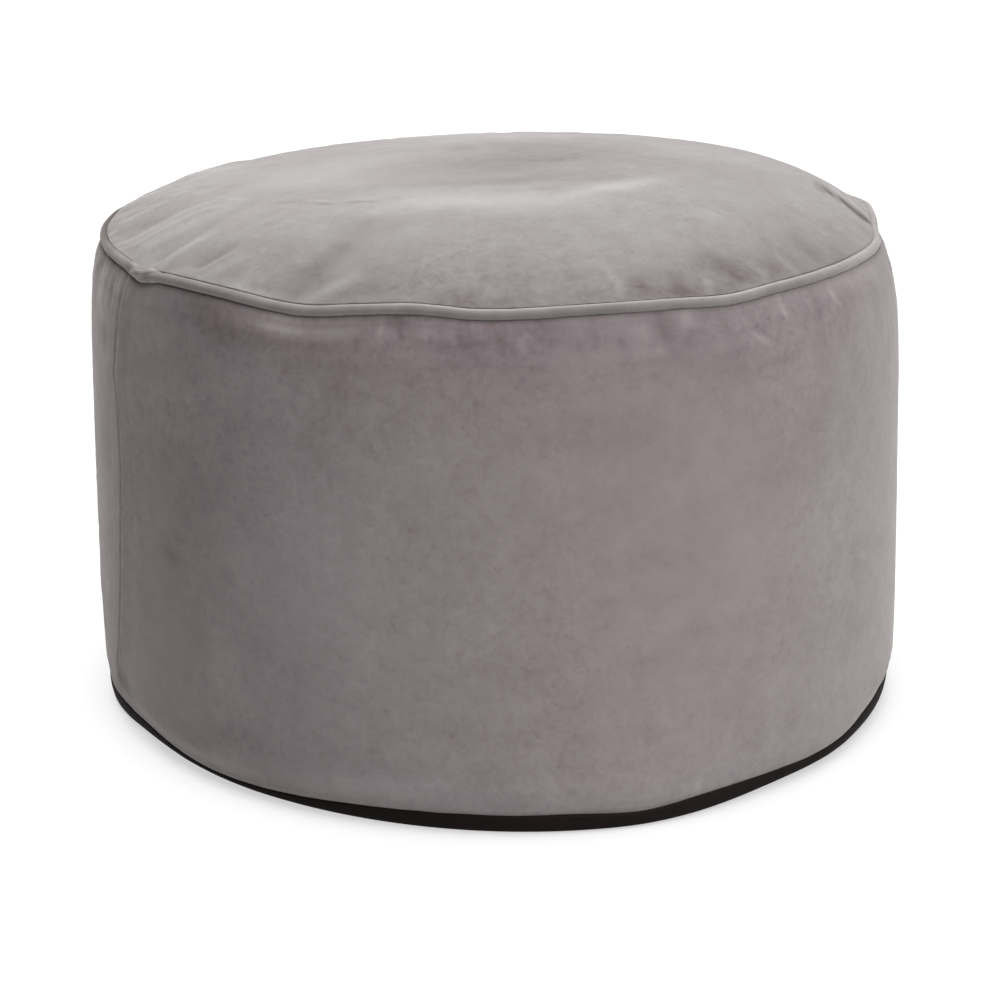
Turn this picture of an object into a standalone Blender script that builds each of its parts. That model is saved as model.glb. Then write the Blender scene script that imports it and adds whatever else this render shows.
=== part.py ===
"""Bean bag footstool: a round drum filled with beads, sewn from a velvet top panel, a velvet
side band with one upright seam, a ring of piping in the seam between them, and a black base
panel. The beads push the top into a crown and the wall into a barrel, and each seam draws the
cloth in. Lengths are metres. Azimuths are degrees, 0 at the front (-Y) and rising toward +X.
The origin is on the floor, under the middle.
"""

import math
from collections import namedtuple

import bmesh
import bpy
from mathutils import Vector

# Driving dimensions
PIPING_HEIGHT = 0.2900        # middle of the piping above the floor
PIPING_RING_RADIUS = 0.2345
PIPING_RADIUS = 0.0030
PIPING_SHIFT_X = -0.0045      # the sewn top leans this far to the left
CROWN_HEIGHT = 0.0415         # rise of the top above its seam
CROWN_FLATNESS = 3.9          # higher keeps the middle flat further out
CROWN_SHOULDER = 1.08         # lower makes the edge of the crown steeper
CROWN_TILT_X = 0.036          # rise per metre toward +X
CROWN_TILT_Y = -0.019         # rise per metre toward +Y
FLOOR_RADIUS = 0.2425         # where the base panel leaves the floor
BASE_TURN_UP = 0.0040         # how far the base panel swells past its footprint
BASE_MIDDLE_HEIGHT = 0.0100   # level of the base seam, away from the edge
BASE_SEAM_DEPTH = 0.0012      # how far the base seam is drawn in
GAP = 0.0003                  # clearance between neighbouring pieces

# Grid of the surfaces
COLUMN_STEP = 3.0
SEAM_AZIMUTH = -59.2          # upright seam of the side band, at the piping
SEAM_COLUMNS = (-3.4, -1.5, -0.55, 0.0, 0.45, 1.2, 3.2)
SEAM_CLEARANCE = 4.4          # even columns stay this far from the upright seam
SEAM_REACH = 26.0             # the grid bends with that seam this far either side of it
CROWN_RINGS = (0.987, 0.96, 0.92, 0.86, 0.78, 0.685, 0.565, 0.42, 0.26, 0.11)
BASE_RIM_TURNS = (0.0, 35.0, 65.0, 90.0)
TUBE_SIDES = 8
CROWN_SIDE_CORNERS = (3, 2)      # corners of the piping that the top panel lies against
WALL_SIDE_CORNERS = (6, 5, 4)    # corners of the piping that the side band lies against
SHARP_ANGLE = 50.0

# Ends of the piping, which overlap
JOIN_AZIMUTH = -54.0
JOIN_REACH = 3.0
JOIN_SWELL = 0.0007

# Fading of the creases
FOLD_START = 0.010            # a crease reaches its depth this far in from the seam
FOLD_FADE = 0.15              # share of its length over which each end fades

Wave = namedtuple("Wave", "azimuth offset")
SeamPoint = namedtuple("SeamPoint", "share azimuth_offset")
SeamLine = namedtuple("SeamLine", "azimuth_offset width lift")
WallRow = namedtuple("WallRow", "share radius shift_x footprint_share")
Lump = namedtuple("Lump", "azimuth radius spread lift")
Fold = namedtuple("Fold", "azimuth radius end_azimuth end_radius width lift")
Pucker = namedtuple("Pucker", "azimuth bottom width lift")
Cloth = namedtuple("Cloth", "name colour roughness")

# Highs and lows of the piping along the top seam
PIPING_WAVES = (
    Wave(-170, 0.0030),
    Wave(-135, 0.0032),
    Wave(-112, 0.0022),
    Wave(-97, 0.0034),
    Wave(-76, 0.0010),
    Wave(-62, -0.0003),
    Wave(-56, -0.0026),
    Wave(-49, 0.0003),
    Wave(-37, 0.0000),
    Wave(-25, -0.0032),
    Wave(-16, 0.0003),
    Wave(-9, 0.0019),
    Wave(-1, -0.0004),
    Wave(12, 0.0009),
    Wave(24, 0.0006),
    Wave(33, -0.0012),
    Wave(41, 0.0006),
    Wave(60, 0.0011),
    Wave(78, 0.0002),
    Wave(98, 0.0045),
    Wave(135, 0.0032),
)

# Wide and narrow places of the footprint on the floor
FOOTPRINT_WAVES = (
    Wave(-150, 0.0015),
    Wave(-115, -0.0010),
    Wave(-78, 0.0062),
    Wave(-58, -0.0062),
    Wave(-36, -0.0068),
    Wave(16, 0.0063),
    Wave(24, 0.0055),
    Wave(42, -0.0020),
    Wave(58, -0.0006),
    Wave(80, 0.0046),
    Wave(120, 0.0005),
    Wave(165, -0.0020),
)

# Height of the seam between the side band and the base panel
BASE_SEAM_HEIGHTS = (
    Wave(-160, 0.0110),
    Wave(-120, 0.0130),
    Wave(-76, 0.0140),
    Wave(-45, 0.0045),
    Wave(-13, 0.0104),
    Wave(9, 0.0114),
    Wave(18, 0.0100),
    Wave(29, 0.0118),
    Wave(50, 0.0083),
    Wave(80, 0.0145),
    Wave(130, 0.0115),
)

# The wall from its foot (share 0) to just under the piping (share 1). Near the foot it
# follows a share of the footprint's wide and narrow places.
WALL_ROWS = (
    WallRow(0.020, 0.2480, 0.0003, 0.85),
    WallRow(0.055, 0.2512, 0.0003, 0.50),
    WallRow(0.120, 0.2526, 0.0002, 0.20),
    WallRow(0.210, 0.2529, 0.0000, 0.05),
    WallRow(0.320, 0.2524, -0.0003, 0.0),
    WallRow(0.450, 0.2514, -0.0007, 0.0),
    WallRow(0.580, 0.2502, -0.0011, 0.0),
    WallRow(0.700, 0.2492, -0.0015, 0.0),
    WallRow(0.790, 0.2481, -0.0019, 0.0),
    WallRow(0.865, 0.2465, -0.0022, 0.0),
    WallRow(0.920, 0.2444, -0.0029, 0.0),
    WallRow(0.960, 0.2416, -0.0037, 0.0),
    WallRow(0.985, 0.2385, -0.0043, 0.0),
)

# The upright seam wanders on its way up, and leans back toward the floor
SEAM_PATH = (
    SeamPoint(0.0, -9.0),
    SeamPoint(0.10, -6.2),
    SeamPoint(0.20, -3.8),
    SeamPoint(0.35, -2.0),
    SeamPoint(0.55, -0.3),
    SeamPoint(0.70, -0.5),
    SeamPoint(0.81, -1.6),
    SeamPoint(0.91, -0.3),
    SeamPoint(1.0, 0.0),
)

# Across the upright seam: a groove, then the ridge of the turned cloth beside it
SEAM_LINES = (
    SeamLine(-0.55, 0.5, -0.0013),
    SeamLine(0.60, 0.9, 0.0012),
)

# Broad highs and hollows of the crown
CROWN_LUMPS = (
    Lump(100, 0.110, 0.070, 0.0020),
    Lump(-110, 0.090, 0.080, -0.0012),
    Lump(0, 0.060, 0.060, -0.0010),
)

# Creases of the crown, each from one end to the other
CROWN_FOLDS = (
    Fold(-97, 0.229, -104, 0.188, 0.009, -0.0020),
    Fold(-78, 0.232, -88, 0.188, 0.009, 0.0024),
    Fold(-70, 0.229, -74, 0.184, 0.008, -0.0028),
    Fold(-62, 0.232, -61, 0.170, 0.009, 0.0028),
    Fold(-56, 0.229, -57, 0.192, 0.007, -0.0020),
    Fold(-51, 0.232, -53, 0.204, 0.008, 0.0024),
    Fold(-47, 0.228, -46, 0.204, 0.008, -0.0040),
    Fold(-41, 0.233, -40, 0.202, 0.008, 0.0022),
    Fold(-65, 0.168, -34, 0.134, 0.008, -0.0018),
    Fold(-31, 0.128, 33, 0.140, 0.014, 0.0016),
    Fold(-1, 0.231, -2, 0.212, 0.008, -0.0014),
    Fold(31, 0.231, 33, 0.212, 0.008, -0.0018),
    Fold(43, 0.230, 50, 0.208, 0.009, -0.0014),
    Fold(83, 0.230, 87, 0.194, 0.007, -0.0042),
    Fold(90, 0.230, 92, 0.196, 0.008, 0.0026),
    Fold(128, 0.229, 124, 0.188, 0.010, -0.0022),
    Fold(171, 0.229, 174, 0.194, 0.010, -0.0018),
    Fold(-141, 0.229, -137, 0.190, 0.010, -0.0020),
)

# Gathers of the wall, deepest at the piping and gone at their bottom share
WALL_PUCKERS = (
    Pucker(-101, 0.86, 2.2, -0.0012),
    Pucker(-72, 0.84, 1.8, -0.0016),
    Pucker(-67, 0.82, 1.8, 0.0012),
    Pucker(-31, 0.92, 3.0, 0.0010),
    Pucker(-12, 0.90, 2.0, -0.0016),
    Pucker(20, 0.88, 2.0, -0.0013),
    Pucker(24, 0.88, 2.0, 0.0010),
    Pucker(29, 0.90, 2.0, -0.0012),
    Pucker(84, 0.82, 2.0, -0.0020),
    Pucker(131, 0.86, 2.4, -0.0014),
    Pucker(176, 0.88, 2.4, -0.0012),
    Pucker(-138, 0.85, 2.4, -0.0014),
)

# Cloths, with linear colours
VELVET = Cloth("velvet", (0.212, 0.178, 0.178), 0.85)
PIPING_VELVET = Cloth("piping_velvet", (0.254, 0.216, 0.216), 0.80)
BASE_CLOTH = Cloth("base_cloth", (0.0080, 0.0060, 0.0060), 0.70)


def smooth_step(share):
    share = min(max(share, 0.0), 1.0)
    return share * share * (3.0 - 2.0 * share)


def bell(distance, width):
    return math.exp(-((distance / width) ** 2))


def turn_between(start, end):
    """Signed turn from one azimuth to another, from -180 to 180 degrees."""
    return (end - start + 180.0) % 360.0 - 180.0


def slope_between(row, later):
    return (later.offset - row.offset) / ((later.azimuth - row.azimuth) % 360.0)


def around(waves, azimuth):
    """Value of a table at an azimuth, on a smooth closed curve through its rows."""
    for number, row in enumerate(waves):
        following = waves[(number + 1) % len(waves)]
        span = (following.azimuth - row.azimuth) % 360.0
        share = (azimuth - row.azimuth) % 360.0 / span
        if share < 1.0:
            start_slope = slope_between(waves[number - 1], following)
            end_slope = slope_between(row, waves[(number + 2) % len(waves)])
            rise = following.offset - row.offset
            bend = start_slope * span * share * (1.0 - share) ** 2
            bend -= end_slope * span * share**2 * (1.0 - share)
            return row.offset + rise * smooth_step(share) + bend
    return waves[0].offset


def seam_offset(share):
    """Azimuth of the upright seam at a height share, measured from its top end."""
    for low, high in zip(SEAM_PATH, SEAM_PATH[1:]):
        if share <= high.share:
            part = smooth_step((share - low.share) / (high.share - low.share))
            return low.azimuth_offset + (high.azimuth_offset - low.azimuth_offset) * part
    return SEAM_PATH[-1].azimuth_offset


def column_azimuths():
    """Even columns, with a closer group of them along the upright seam."""
    even = [COLUMN_STEP * number - 180.0 for number in range(round(360.0 / COLUMN_STEP))]
    kept = [azimuth for azimuth in even if abs(azimuth - SEAM_AZIMUTH) > SEAM_CLEARANCE]
    return sorted(kept + [SEAM_AZIMUTH + offset for offset in SEAM_COLUMNS])


def wall_azimuth(column, share):
    """Where a column stands at a height share, as the grid bends with the upright seam."""
    nearness = 1.0 - abs(turn_between(SEAM_AZIMUTH, column)) / SEAM_REACH
    return column + seam_offset(share) * smooth_step(nearness)


def polar(azimuth, radius, height, shift_x=0.0):
    angle = math.radians(azimuth)
    return Vector((shift_x + radius * math.sin(angle), -radius * math.cos(angle), height))


def piping_middle(azimuth):
    return PIPING_HEIGHT + around(PIPING_WAVES, azimuth)


def tube_radius(azimuth):
    """Radius of the piping, thicker where its ends overlap."""
    nearness = 1.0 - abs(turn_between(JOIN_AZIMUTH, azimuth)) / JOIN_REACH
    return PIPING_RADIUS + JOIN_SWELL * smooth_step(nearness)


def tube_corner(azimuth, corner, clearance=0.0):
    """Corner of the piping's section, numbered from just above its outermost side and on
    over the top, or a point that clears that corner."""
    reach = tube_radius(azimuth) + clearance / math.cos(math.pi / TUBE_SIDES)
    turn = 2.0 * math.pi * (corner + 0.5) / TUBE_SIDES
    return polar(
        azimuth,
        PIPING_RING_RADIUS + reach * math.cos(turn),
        piping_middle(azimuth) + reach * math.sin(turn),
        PIPING_SHIFT_X,
    )


def top_seam_edge(azimuth, side):
    """Inner edge of the top seam: side 1 on the crown's cloth, -1 on the wall's."""
    reach = tube_radius(azimuth) * math.cos(math.pi / TUBE_SIDES) + GAP
    height = piping_middle(azimuth) + side * GAP / 2
    return polar(azimuth, PIPING_RING_RADIUS - reach, height, PIPING_SHIFT_X)


def fold_lift(x, y, fold):
    """Height that one crease adds: a bell across it, fading out at both ends."""
    start = polar(fold.azimuth, fold.radius, 0.0)
    along = polar(fold.end_azimuth, fold.end_radius, 0.0) - start
    point = Vector((x, y, 0.0)) - start
    share = point.dot(along) / along.length_squared
    across = (point - along * share).length
    rise = smooth_step((share + FOLD_FADE) / (2.0 * FOLD_FADE))
    fall = smooth_step((1.0 + FOLD_FADE - share) / (2.0 * FOLD_FADE))
    return fold.lift * rise * fall * bell(across, fold.width)


def crown_point(azimuth, share):
    """Point of the top's outer face, at a share of the way from its middle to its edge."""
    edge = tube_corner(azimuth, CROWN_SIDE_CORNERS[-1], GAP)
    x = (edge.x - PIPING_SHIFT_X) * share
    y = edge.y * share
    inset = math.hypot(edge.x - PIPING_SHIFT_X, edge.y) * (1.0 - share)
    dome = (1.0 - share**CROWN_FLATNESS) ** CROWN_SHOULDER
    settled = PIPING_HEIGHT + (edge.z - PIPING_HEIGHT) * smooth_step(2.0 * share - 1.0)
    lift = dome * (CROWN_HEIGHT + CROWN_TILT_X * x + CROWN_TILT_Y * y)
    for lump in CROWN_LUMPS:
        summit = polar(lump.azimuth, lump.radius, 0.0)
        away = math.hypot(x - summit.x, y - summit.y)
        lift += lump.lift * dome * bell(away, lump.spread)
    for fold in CROWN_FOLDS:
        lift += fold_lift(x, y, fold) * smooth_step(inset / FOLD_START)
    return Vector((PIPING_SHIFT_X + x, y, settled + lift))


def base_rim_point(column, turn):
    """Point of the base panel's rounded edge: turn 0 on the floor, 90 at its seam."""
    azimuth = wall_azimuth(column, 0.0)
    angle = math.radians(turn)
    footprint = FLOOR_RADIUS + around(FOOTPRINT_WAVES, azimuth)
    height = around(BASE_SEAM_HEIGHTS, azimuth) * (1.0 - math.cos(angle))
    return polar(azimuth, footprint + BASE_TURN_UP * math.sin(angle), height)


def base_seam_edge(column, side):
    """Inner edge of the base seam: side 1 on the wall's cloth, -1 on the base's."""
    seam = base_rim_point(column, BASE_RIM_TURNS[-1])
    inward = Vector((-seam.x, -seam.y, 0.0)).normalized() * BASE_SEAM_DEPTH
    return seam + inward + Vector((0.0, 0.0, side * GAP / 2))


def wall_point(column, row):
    """Point of the side band's outer face, at one row of its table."""
    azimuth = wall_azimuth(column, row.share)
    foot = around(BASE_SEAM_HEIGHTS, azimuth)
    height = foot + (piping_middle(azimuth) - PIPING_RADIUS - foot) * row.share
    radius = row.radius + row.footprint_share * around(FOOTPRINT_WAVES, azimuth)
    for pucker in WALL_PUCKERS:
        depth = smooth_step((row.share - pucker.bottom) / (1.0 - pucker.bottom))
        radius += pucker.lift * depth * bell(turn_between(pucker.azimuth, azimuth), pucker.width)
    for line in SEAM_LINES:
        across = turn_between(SEAM_AZIMUTH + line.azimuth_offset, column)
        radius += line.lift * bell(across, line.width)
    return polar(azimuth, radius, height, row.shift_x)


def lofted_mesh(name, loops, low_middle=None, high_middle=None):
    """Closed skin through loops that run the same way round. With two middles its ends are
    fans, and without them the last loop joins the first, as on a tube bent into a ring."""
    mesh = bmesh.new()
    rings = [[mesh.verts.new(point) for point in loop] for loop in loops]
    following = rings[1:] if low_middle else rings[1:] + rings[:1]
    for lower, upper in zip(rings, following):
        for number, corner in enumerate(lower):
            after = (number + 1) % len(lower)
            mesh.faces.new((corner, lower[after], upper[after], upper[number]))
    if low_middle:
        low = mesh.verts.new(low_middle)
        high = mesh.verts.new(high_middle)
        for number in range(len(rings[0])):
            after = (number + 1) % len(rings[0])
            mesh.faces.new((low, rings[0][after], rings[0][number]))
            mesh.faces.new((high, rings[-1][number], rings[-1][after]))
    data = bpy.data.meshes.new(name)
    mesh.to_mesh(data)
    mesh.free()
    return data


def cloth_material(cloth):
    material = bpy.data.materials.new(cloth.name)
    material.use_nodes = True
    shader = material.node_tree.nodes["Principled BSDF"]
    shader.inputs["Base Color"].default_value = (*cloth.colour, 1.0)
    shader.inputs["Roughness"].default_value = cloth.roughness
    shader.inputs["Metallic"].default_value = 0.0
    return material


def add_piece(name, mesh, material):
    mesh.materials.append(material)
    mesh.shade_smooth()
    mesh.set_sharp_from_angle(angle=math.radians(SHARP_ANGLE))
    piece = bpy.data.objects.new(name, mesh)
    bpy.context.scene.collection.objects.link(piece)


def make_top_panel(columns, velvet):
    """Filled top: closed underneath at the seam, hollowed beside the piping, crowned above."""
    loops = [[top_seam_edge(azimuth, 1) for azimuth in columns]]
    for corner in CROWN_SIDE_CORNERS:
        loops.append([tube_corner(azimuth, corner, GAP) for azimuth in columns])
    for share in CROWN_RINGS:
        loops.append([crown_point(azimuth, share) for azimuth in columns])
    underside = Vector((PIPING_SHIFT_X, 0.0, PIPING_HEIGHT + GAP / 2))
    summit = crown_point(columns[0], 0.0)
    add_piece("top_panel", lofted_mesh("top_panel", loops, underside, summit), velvet)


def make_side_band(columns, velvet):
    """Filled wall, from the base seam up to the hollow under the piping."""
    loops = [[base_seam_edge(column, 1) for column in columns]]
    for row in WALL_ROWS:
        loops.append([wall_point(column, row) for column in columns])
    for corner in WALL_SIDE_CORNERS:
        loops.append([tube_corner(azimuth, corner, GAP) for azimuth in columns])
    loops.append([top_seam_edge(azimuth, -1) for azimuth in columns])
    underside = Vector((0.0, 0.0, BASE_MIDDLE_HEIGHT + GAP / 2))
    topside = Vector((PIPING_SHIFT_X, 0.0, PIPING_HEIGHT - GAP / 2))
    add_piece("side_band", lofted_mesh("side_band", loops, underside, topside), velvet)


def make_piping(columns, piping_velvet):
    """Velvet-covered cord in the top seam, a closed ring of eight-sided tube."""
    loops = []
    for corner in range(TUBE_SIDES):
        loops.append([tube_corner(azimuth, corner) for azimuth in columns])
    add_piece("piping", lofted_mesh("piping", loops), piping_velvet)


def make_base_panel(columns, base_cloth):
    """Black panel: flat on the floor, its edge rounded up to the base seam."""
    loops = []
    for turn in BASE_RIM_TURNS:
        loops.append([base_rim_point(column, turn) for column in columns])
    loops.append([base_seam_edge(column, -1) for column in columns])
    underside = Vector((0.0, 0.0, 0.0))
    topside = Vector((0.0, 0.0, BASE_MIDDLE_HEIGHT - GAP / 2))
    add_piece("base_panel", lofted_mesh("base_panel", loops, underside, topside), base_cloth)


def main():
    for leftover in list(bpy.data.objects):
        bpy.data.objects.remove(leftover)
    columns = column_azimuths()
    velvet = cloth_material(VELVET)
    make_top_panel(columns, velvet)
    make_side_band(columns, velvet)
    make_piping(columns, cloth_material(PIPING_VELVET))
    make_base_panel(columns, cloth_material(BASE_CLOTH))


main()
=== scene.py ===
import math
import time

import bpy
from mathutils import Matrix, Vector, noise


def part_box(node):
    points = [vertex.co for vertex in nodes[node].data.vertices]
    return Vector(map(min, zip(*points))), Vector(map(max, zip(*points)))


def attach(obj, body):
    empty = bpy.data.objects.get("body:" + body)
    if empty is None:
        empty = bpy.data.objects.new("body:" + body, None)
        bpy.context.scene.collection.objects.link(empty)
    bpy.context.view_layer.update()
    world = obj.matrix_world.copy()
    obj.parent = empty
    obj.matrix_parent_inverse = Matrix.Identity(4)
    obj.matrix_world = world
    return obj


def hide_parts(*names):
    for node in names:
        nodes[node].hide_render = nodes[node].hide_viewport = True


# a round bean bag footstool: velvet top and wall with a piped seam, on a black base cloth
# metres, Z up; azimuths are in degrees, 0 at the front and 90 at the right

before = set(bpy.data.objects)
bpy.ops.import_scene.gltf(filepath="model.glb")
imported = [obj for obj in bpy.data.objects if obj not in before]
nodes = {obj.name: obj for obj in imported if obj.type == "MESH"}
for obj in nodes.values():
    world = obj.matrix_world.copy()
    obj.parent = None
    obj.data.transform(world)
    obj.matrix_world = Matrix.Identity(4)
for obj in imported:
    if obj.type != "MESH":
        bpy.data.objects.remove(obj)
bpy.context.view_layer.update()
scene = bpy.context.scene
scene.view_settings.view_transform = "Standard"
print("frame loaded:", ", ".join(sorted(nodes)))

millimetre = 0.001
mmPerMetre = 1000
cordRadius = 3 * millimetre                  # of the piping


# small tools

def hexToLinear(code):
    channels = [int(code[i:i + 2], 16) / 255 for i in (1, 3, 5)]
    return [c / 12.92 if c <= 0.04045 else ((c + 0.055) / 1.055) ** 2.4 for c in channels]


def ease(share):
    share = min(max(share, 0.0), 1.0)
    return share * share * (3 - 2 * share)


def bell(distance, width):
    return math.exp(-(distance / width) ** 2)


def turnBetween(start, end):
    return (end - start + 180) % 360 - 180


def bellsAt(rows, place):
    # rows of middle, width and size
    return sum(size * bell(place - middle, width) for middle, width, size in rows)


def bellsAround(rows, azimuth):
    # the same in degrees round the ring
    return sum(size * bell(turnBetween(middle, azimuth), width) for middle, width, size in rows)


def wavesAt(point, rows):
    # rows of fineness and size
    return sum(size * noise.noise(point * fineness) for fineness, size in rows)


def onCircle(azimuth, radius, height, middleX=0.0):
    angle = math.radians(azimuth)
    return Vector((middleX + radius * math.sin(angle), -radius * math.cos(angle), height))


def azimuthOf(point, middleX=0.0):
    return math.degrees(math.atan2(point.x - middleX, -point.y))


def makeActive(piece):
    bpy.ops.object.select_all(action="DESELECT")
    piece.select_set(True)
    bpy.context.view_layer.objects.active = piece


def startPiece(name):
    # names the primitive that was just added
    piece = bpy.context.object
    piece.name = name
    piece.data.name = name
    return piece


def applyModifier(piece, kind, **settings):
    makeActive(piece)
    modifier = piece.modifiers.new(kind.lower(), kind)
    for name, value in settings.items():
        setattr(modifier, name, value)
    bpy.ops.object.modifier_apply(modifier=modifier.name)


def smoothOut(piece, rounds, group=""):
    applyModifier(piece, "SMOOTH", factor=0.5, iterations=rounds, vertex_group=group)


def relaxInside(piece, isRim, rounds):
    # evens out the grid between the rims
    inner = piece.vertex_groups.new(name="inner")
    inner.add([i for i, rim in enumerate(isRim) if not rim], 1.0, "REPLACE")
    smoothOut(piece, rounds, "inner")
    faceOutward(piece)


def selectEdges(piece, wanted):
    # leaves the piece in edit mode with only the wanted edges selected
    makeActive(piece)
    bpy.ops.object.mode_set(mode="EDIT")
    bpy.ops.mesh.select_mode(type="EDGE")
    bpy.ops.mesh.select_all(action="DESELECT")
    bpy.ops.object.mode_set(mode="OBJECT")
    points = piece.data.vertices
    for edge in piece.data.edges:
        edge.select = wanted(*[points[i].co for i in edge.vertices])
    bpy.ops.object.mode_set(mode="EDIT")


def foldIn(piece, steps):
    # pulls the selected rim in by one ring for each step, then closes it
    for place in steps:
        bpy.ops.mesh.extrude_edges_move()
        bpy.ops.object.mode_set(mode="OBJECT")
        for point in piece.data.vertices:
            if point.select:
                point.co = place(point.co)
        bpy.ops.object.mode_set(mode="EDIT")
    bpy.ops.mesh.edge_face_add()
    bpy.ops.object.mode_set(mode="OBJECT")


def selectRim(piece):
    # leaves the piece in edit mode with its open edges selected
    makeActive(piece)
    bpy.ops.object.mode_set(mode="EDIT")
    bpy.ops.mesh.select_mode(type="EDGE")
    bpy.ops.mesh.select_all(action="DESELECT")
    bpy.ops.mesh.select_non_manifold(extend=False, use_wire=False, use_boundary=True,
                                     use_multi_face=False, use_non_contiguous=False,
                                     use_verts=False)


def faceOutward(piece):
    makeActive(piece)
    bpy.ops.object.mode_set(mode="EDIT")
    bpy.ops.mesh.select_all(action="SELECT")
    bpy.ops.mesh.normals_make_consistent(inside=False)
    bpy.ops.object.mode_set(mode="OBJECT")
    bpy.ops.object.shade_smooth()


def finishPiece(piece, node, material):
    piece.data.materials.clear()
    piece.data.materials.append(material)
    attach(piece, "root")
    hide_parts(node)
    print(piece.name, "has", len(piece.data.polygons), "faces")


# the filling, as a cloth simulation

filling = {
    "pressure": 4,
    "stiffness": 15,
    "bending": 0.1,
    "mass": 0.3,
    "quality": 2,
    "frames": 20,
    "broadRounds": 12,                       # of smoothing, which leave only the broad swell
}


def fillOut(piece, sewn, settings):
    # the filling presses on loose cloth between its seams, and only the puckers are kept
    began = time.time()
    before = [p.co.copy() for p in piece.data.vertices]
    pins = piece.vertex_groups.new(name="sewn")
    pins.add(sewn, 1.0, "REPLACE")
    makeActive(piece)
    modifier = piece.modifiers.new("cloth", "CLOTH")
    cloth = modifier.settings
    cloth.vertex_group_mass = "sewn"
    cloth.use_pressure = True
    cloth.uniform_pressure_force = filling["pressure"]
    cloth.shrink_min = -settings["slack"]
    cloth.tension_stiffness = filling["stiffness"]
    cloth.compression_stiffness = filling["stiffness"]
    cloth.bending_stiffness = filling["bending"]
    cloth.mass = filling["mass"]
    cloth.quality = filling["quality"]
    cloth.effector_weights.gravity = 0
    modifier.collision_settings.use_collision = False
    modifier.point_cache.frame_start = 1
    modifier.point_cache.frame_end = filling["frames"]
    for step in range(1, filling["frames"] + 1):
        scene.frame_set(step)
    bpy.ops.object.modifier_apply(modifier=modifier.name)
    scene.frame_set(1)
    after = [p.co.copy() for p in piece.data.vertices]
    smoothOut(piece, filling["broadRounds"])
    broad = [p.co.copy() for p in piece.data.vertices]
    for point, old in zip(piece.data.vertices, before):
        point.co = old
    smoothOut(piece, filling["broadRounds"])
    most = 0.0
    for index, point in enumerate(piece.data.vertices):
        # the broad swell is left out, so the outline stays
        move = (after[index] - broad[index]) - (before[index] - point.co)
        move = move * settings["puckerShare"]
        if move.length > settings["mostPucker"]:
            move = move.normalized() * settings["mostPucker"]
        most = max(most, move.length)
        point.co = before[index] + move
    took = time.time() - began
    print(piece.name, "filled in %.0f s, puckers up to %.1f mm" % (took, most * mmPerMetre))


# rings read from the frame

def columnsOf(nodeName, middleX, innerRadius, apart=0.03):
    # the node's outer points, gathered into upright columns that stand some degrees apart
    points = [p.co.copy() for p in nodes[nodeName].data.vertices]
    points = [p for p in points if math.hypot(p.x - middleX, p.y) > innerRadius]
    points.sort(key=lambda p: azimuthOf(p, middleX))
    columns = []
    for point in points:
        azimuth = azimuthOf(point, middleX)
        if not columns or azimuth - columns[-1][0] > apart:
            columns.append((azimuth, []))
        columns[-1][1].append(point)
    return columns


def smoothRing(rows):
    # a smooth closed curve through rows of azimuth and value
    def read(azimuth):
        azimuth = (azimuth + 180) % 360 - 180
        low, high = 0, len(rows)
        while low < high:
            middle = (low + high) // 2
            if rows[middle][0] <= azimuth:
                low = middle + 1
            else:
                high = middle
        before, start, end, after = [rows[(low + k) % len(rows)] for k in (-2, -1, 0, 1)]
        span = (end[0] - start[0]) % 360
        share = (azimuth - start[0]) % 360 / span
        startSlope = (end[1] - before[1]) / ((end[0] - before[0]) % 360) * span
        endSlope = (after[1] - start[1]) / ((after[0] - start[0]) % 360) * span
        bend = startSlope * share * (1 - share) ** 2 - endSlope * share ** 2 * (1 - share)
        return start[1] + (end[1] - start[1]) * ease(share) + bend
    return read


def ringOf(columns, read):
    return smoothRing([(azimuth, read(points)) for azimuth, points in columns])


def topOf(points):
    return max(p.z for p in points)


def bottomOf(points):
    return min(p.z for p in points)


def reachOf(points):
    return max(math.hypot(p.x, p.y) for p in points)


pipingLow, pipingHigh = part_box("piping")
ringMiddleX = (pipingLow.x + pipingHigh.x) / 2
pipingColumns = columnsOf("piping", ringMiddleX, innerRadius=0.1)
octagonShare = math.cos(math.pi / 8)         # half height of an eight-sided section
# these are read at an azimuth
ringMiddle = ringOf(pipingColumns, lambda ps: (topOf(ps) + bottomOf(ps)) / 2)
ringHalf = ringOf(pipingColumns, lambda ps: (topOf(ps) - bottomOf(ps)) / 2 / octagonShare)
ringRadius = (pipingHigh.y - pipingLow.y) / 2 - cordRadius * octagonShare

baseColumns = columnsOf("base_panel", 0.0, innerRadius=0.2)
floorRadius = ringOf(baseColumns, lambda ps: reachOf([p for p in ps if p.z < 0.5 * millimetre]))
seamRadius = ringOf(baseColumns, reachOf)
seamMiddle = ringOf(baseColumns, topOf)

# where the filled cover settles off those rings: azimuth, width in degrees, mm
settled = {
    "pressedDown": ((-113, 12, 5.2), (98, 4, -1.0)),   # by the crown, which bulges over it
    "pulledIn": ((-96, 12, 2.8), (84, 5, 2.0), (97, 4, -1.9)),
    "seamRise": ((71, 9, 3.6),),
    "footSwell": ((-46, 22, 3.0), (-86, 14, -3.0), (52, 12, 2.4)),
}


def ringHeight(azimuth):
    return ringMiddle(azimuth) - bellsAround(settled["pressedDown"], azimuth) * millimetre


def ringReach(azimuth):
    return ringRadius - bellsAround(settled["pulledIn"], azimuth) * millimetre


def seamHeight(azimuth):
    # of the seam between the wall and the base cloth
    return seamMiddle(azimuth) + bellsAround(settled["seamRise"], azimuth) * millimetre


def footSwell(azimuth):
    # how far the filling pushes the foot out
    return bellsAround(settled["footSwell"], azimuth) * millimetre


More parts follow.
